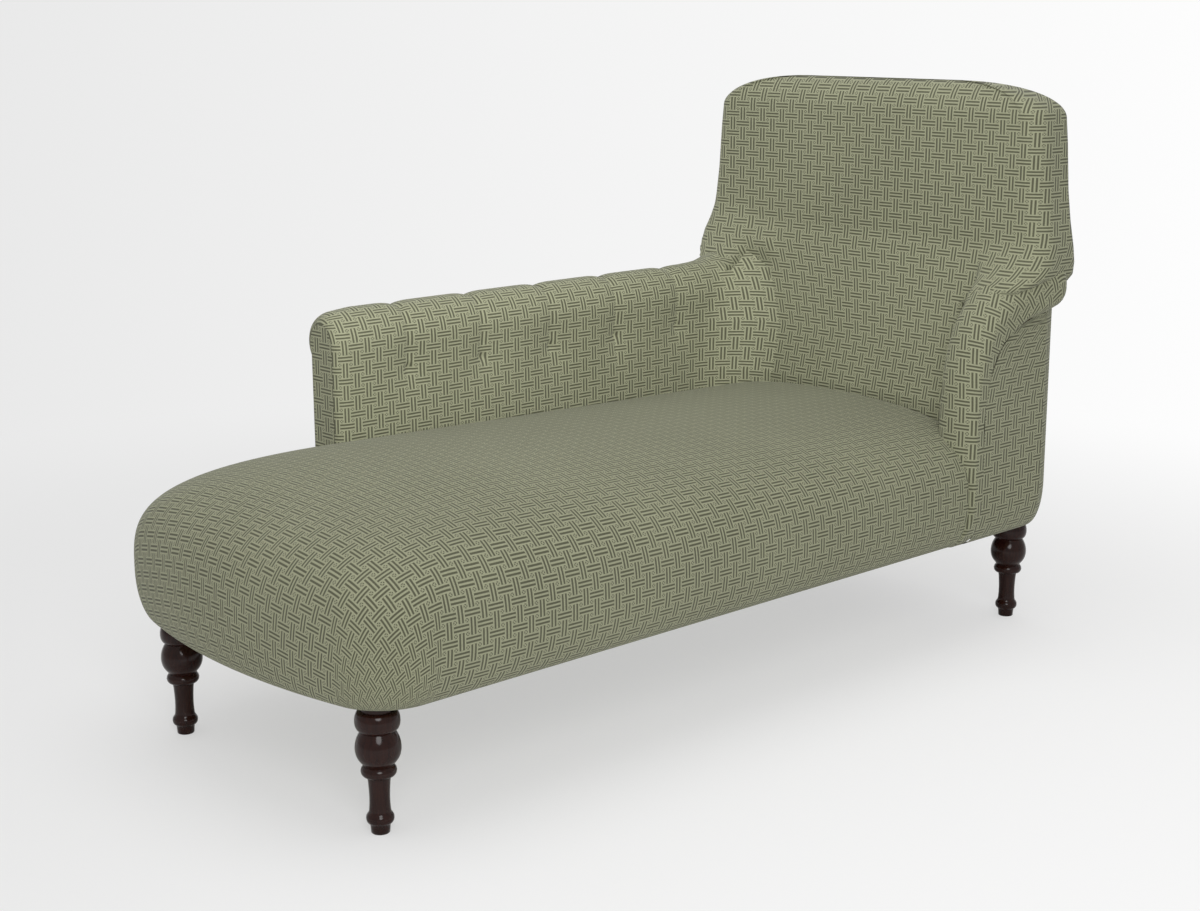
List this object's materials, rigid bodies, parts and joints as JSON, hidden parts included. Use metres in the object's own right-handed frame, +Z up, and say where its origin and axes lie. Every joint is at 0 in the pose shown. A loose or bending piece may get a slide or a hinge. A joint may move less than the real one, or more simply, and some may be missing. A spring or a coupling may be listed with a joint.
{
  "type": "chaise longue",
  "caption": "Upholstered chaise longue with an arched back, a long rolled arm with a tufted inside, a short swept arm, a bowed seat and turned legs.",
  "frame": {"origin": "on the floor, under the middle of the bounding box", "axes": "+X towards the head end with the high back, +Y towards the side with the long arm, +Z up"},
  "size_m": [1.511, 0.779, 0.945],
  "materials": {
    "cover_fabric": "grey-green woven cloth with an interlaced bar pattern",
    "stained_wood": "near-black stain under gloss lacquer",
    "frame_wood": "planed beech, unfinished",
    "foam": "cut foam and stitched fibre stuffing",
    "jute": "jute webbing and hessian",
    "dust_cloth": "thin black cloth",
    "bolt_steel": "plain zinc coated steel"
  },
  "bodies": {
    "root": {"arm_buttons": "cover_fabric", "back_foam": "foam", "back_post_far": "frame_wood", "back_post_near": "frame_wood", "back_tack_rail": "frame_wood", "back_webbing": "jute", "coach_bolts": "bolt_steel", "corner_blocks": "frame_wood", "crest_rail": "frame_wood", "cross_rails": "frame_wood", "dust_cover": "dust_cloth", "foot_rail": "frame_wood", "frame_dowels": "frame_wood", "hanger_bolts": "bolt_steel", "head_rail": "frame_wood", "inside_back_cover": "cover_fabric", "leg_foot_far": "stained_wood", "leg_foot_near": "stained_wood", "leg_head_far": "stained_wood", "leg_head_near": "stained_wood", "long_arm_cover": "cover_fabric", "long_arm_foam": "foam", "long_arm_middle_post": "frame_wood", "long_arm_outside_cover": "cover_fabric", "long_arm_post": "frame_wood", "long_arm_tack_rails": "frame_wood", "long_arm_top_rail": "frame_wood", "outside_back_cover": "cover_fabric", "seat_cover": "cover_fabric", "seat_foam": "foam", "seat_hessian": "jute", "seat_webbing_cross": "jute", "seat_webbing_long": "jute", "short_arm_board": "frame_wood", "short_arm_cover": "cover_fabric", "short_arm_foam": "foam", "short_arm_outside_cover": "cover_fabric", "side_rail_far": "frame_wood", "side_rail_near": "frame_wood"}
  },
  "joints": []
}
